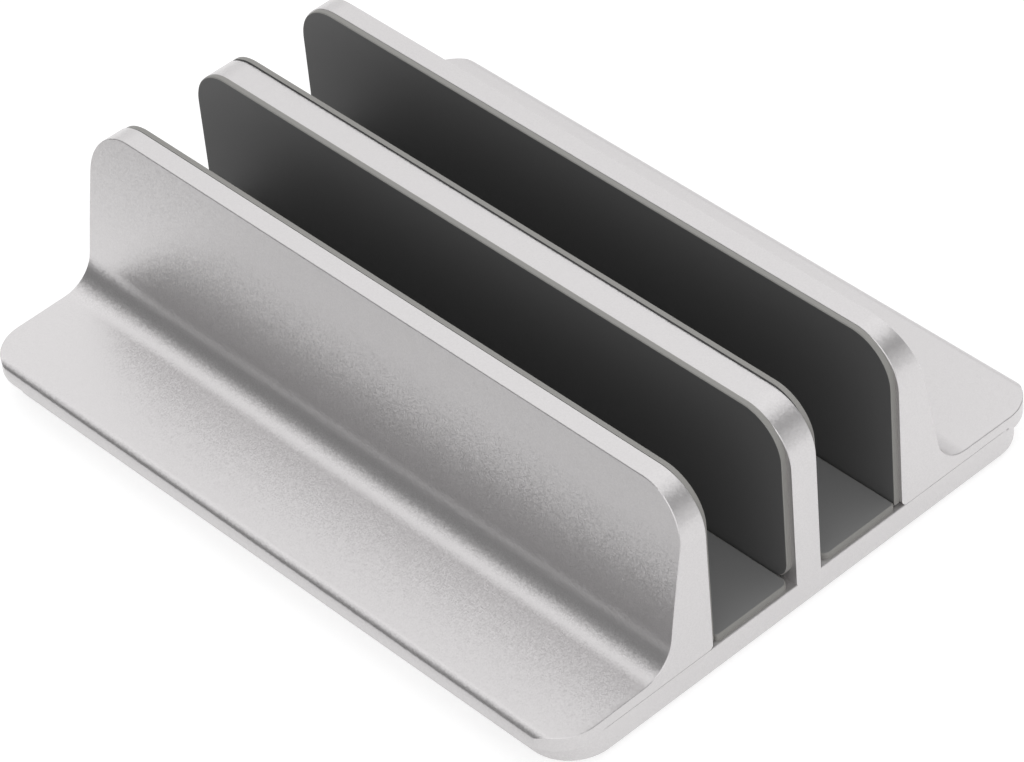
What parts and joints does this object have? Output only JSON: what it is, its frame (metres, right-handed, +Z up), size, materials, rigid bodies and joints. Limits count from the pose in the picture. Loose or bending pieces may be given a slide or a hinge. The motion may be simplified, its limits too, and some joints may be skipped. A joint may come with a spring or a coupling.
{
  "type": "laptop stand",
  "caption": "Desk stand that holds laptops upright in padded slots between a fixed middle wall and sliding side walls.",
  "frame": {"origin": "on the desk below the middle of the stand, at the bottom of the rubber feet", "axes": "+X across the slots towards the right wing, +Y along the walls, +Z up"},
  "size_m": [0.1416, 0.18, 0.0506],
  "materials": {
    "plate_metal": "fine bead blasted, clear anodised",
    "wing_metal": "fine bead blasted, clear anodised",
    "liner": "matt moulded silicone",
    "floor_liner": "matt moulded silicone",
    "screw_steel": "zinc plated",
    "washer_steel": "zinc plated",
    "foot_rubber": "matt moulded rubber"
  },
  "bodies": {
    "base": {"base_divider": "plate_metal", "divider_pad_left": "liner", "divider_pad_right": "liner", "floor_pad_left": "floor_liner", "floor_pad_right": "floor_liner", "foot_left_front": "foot_rubber", "foot_left_back": "foot_rubber", "foot_right_front": "foot_rubber", "foot_right_back": "foot_rubber"},
    "left_wing_group": {"left_wing": "wing_metal", "left_wing_pad": "liner", "clamp_screw_left_front": "screw_steel", "washer_left_front": "washer_steel", "clamp_screw_left_back": "screw_steel", "washer_left_back": "washer_steel"},
    "right_wing_group": {"right_wing": "wing_metal", "right_wing_pad": "liner", "clamp_screw_right_front": "screw_steel", "washer_right_front": "washer_steel", "clamp_screw_right_back": "screw_steel", "washer_right_back": "washer_steel"}
  },
  "joints": [
    {"name": "left_wing_slide", "type": "slide", "parent": "base", "child": "left_wing_group", "axis": [-1, 0, 0], "range_m": [0, 0.016]},
    {"name": "right_wing_slide", "type": "slide", "parent": "base", "child": "right_wing_group", "axis": [1, 0, 0], "range_m": [0, 0.016]}
  ]
}
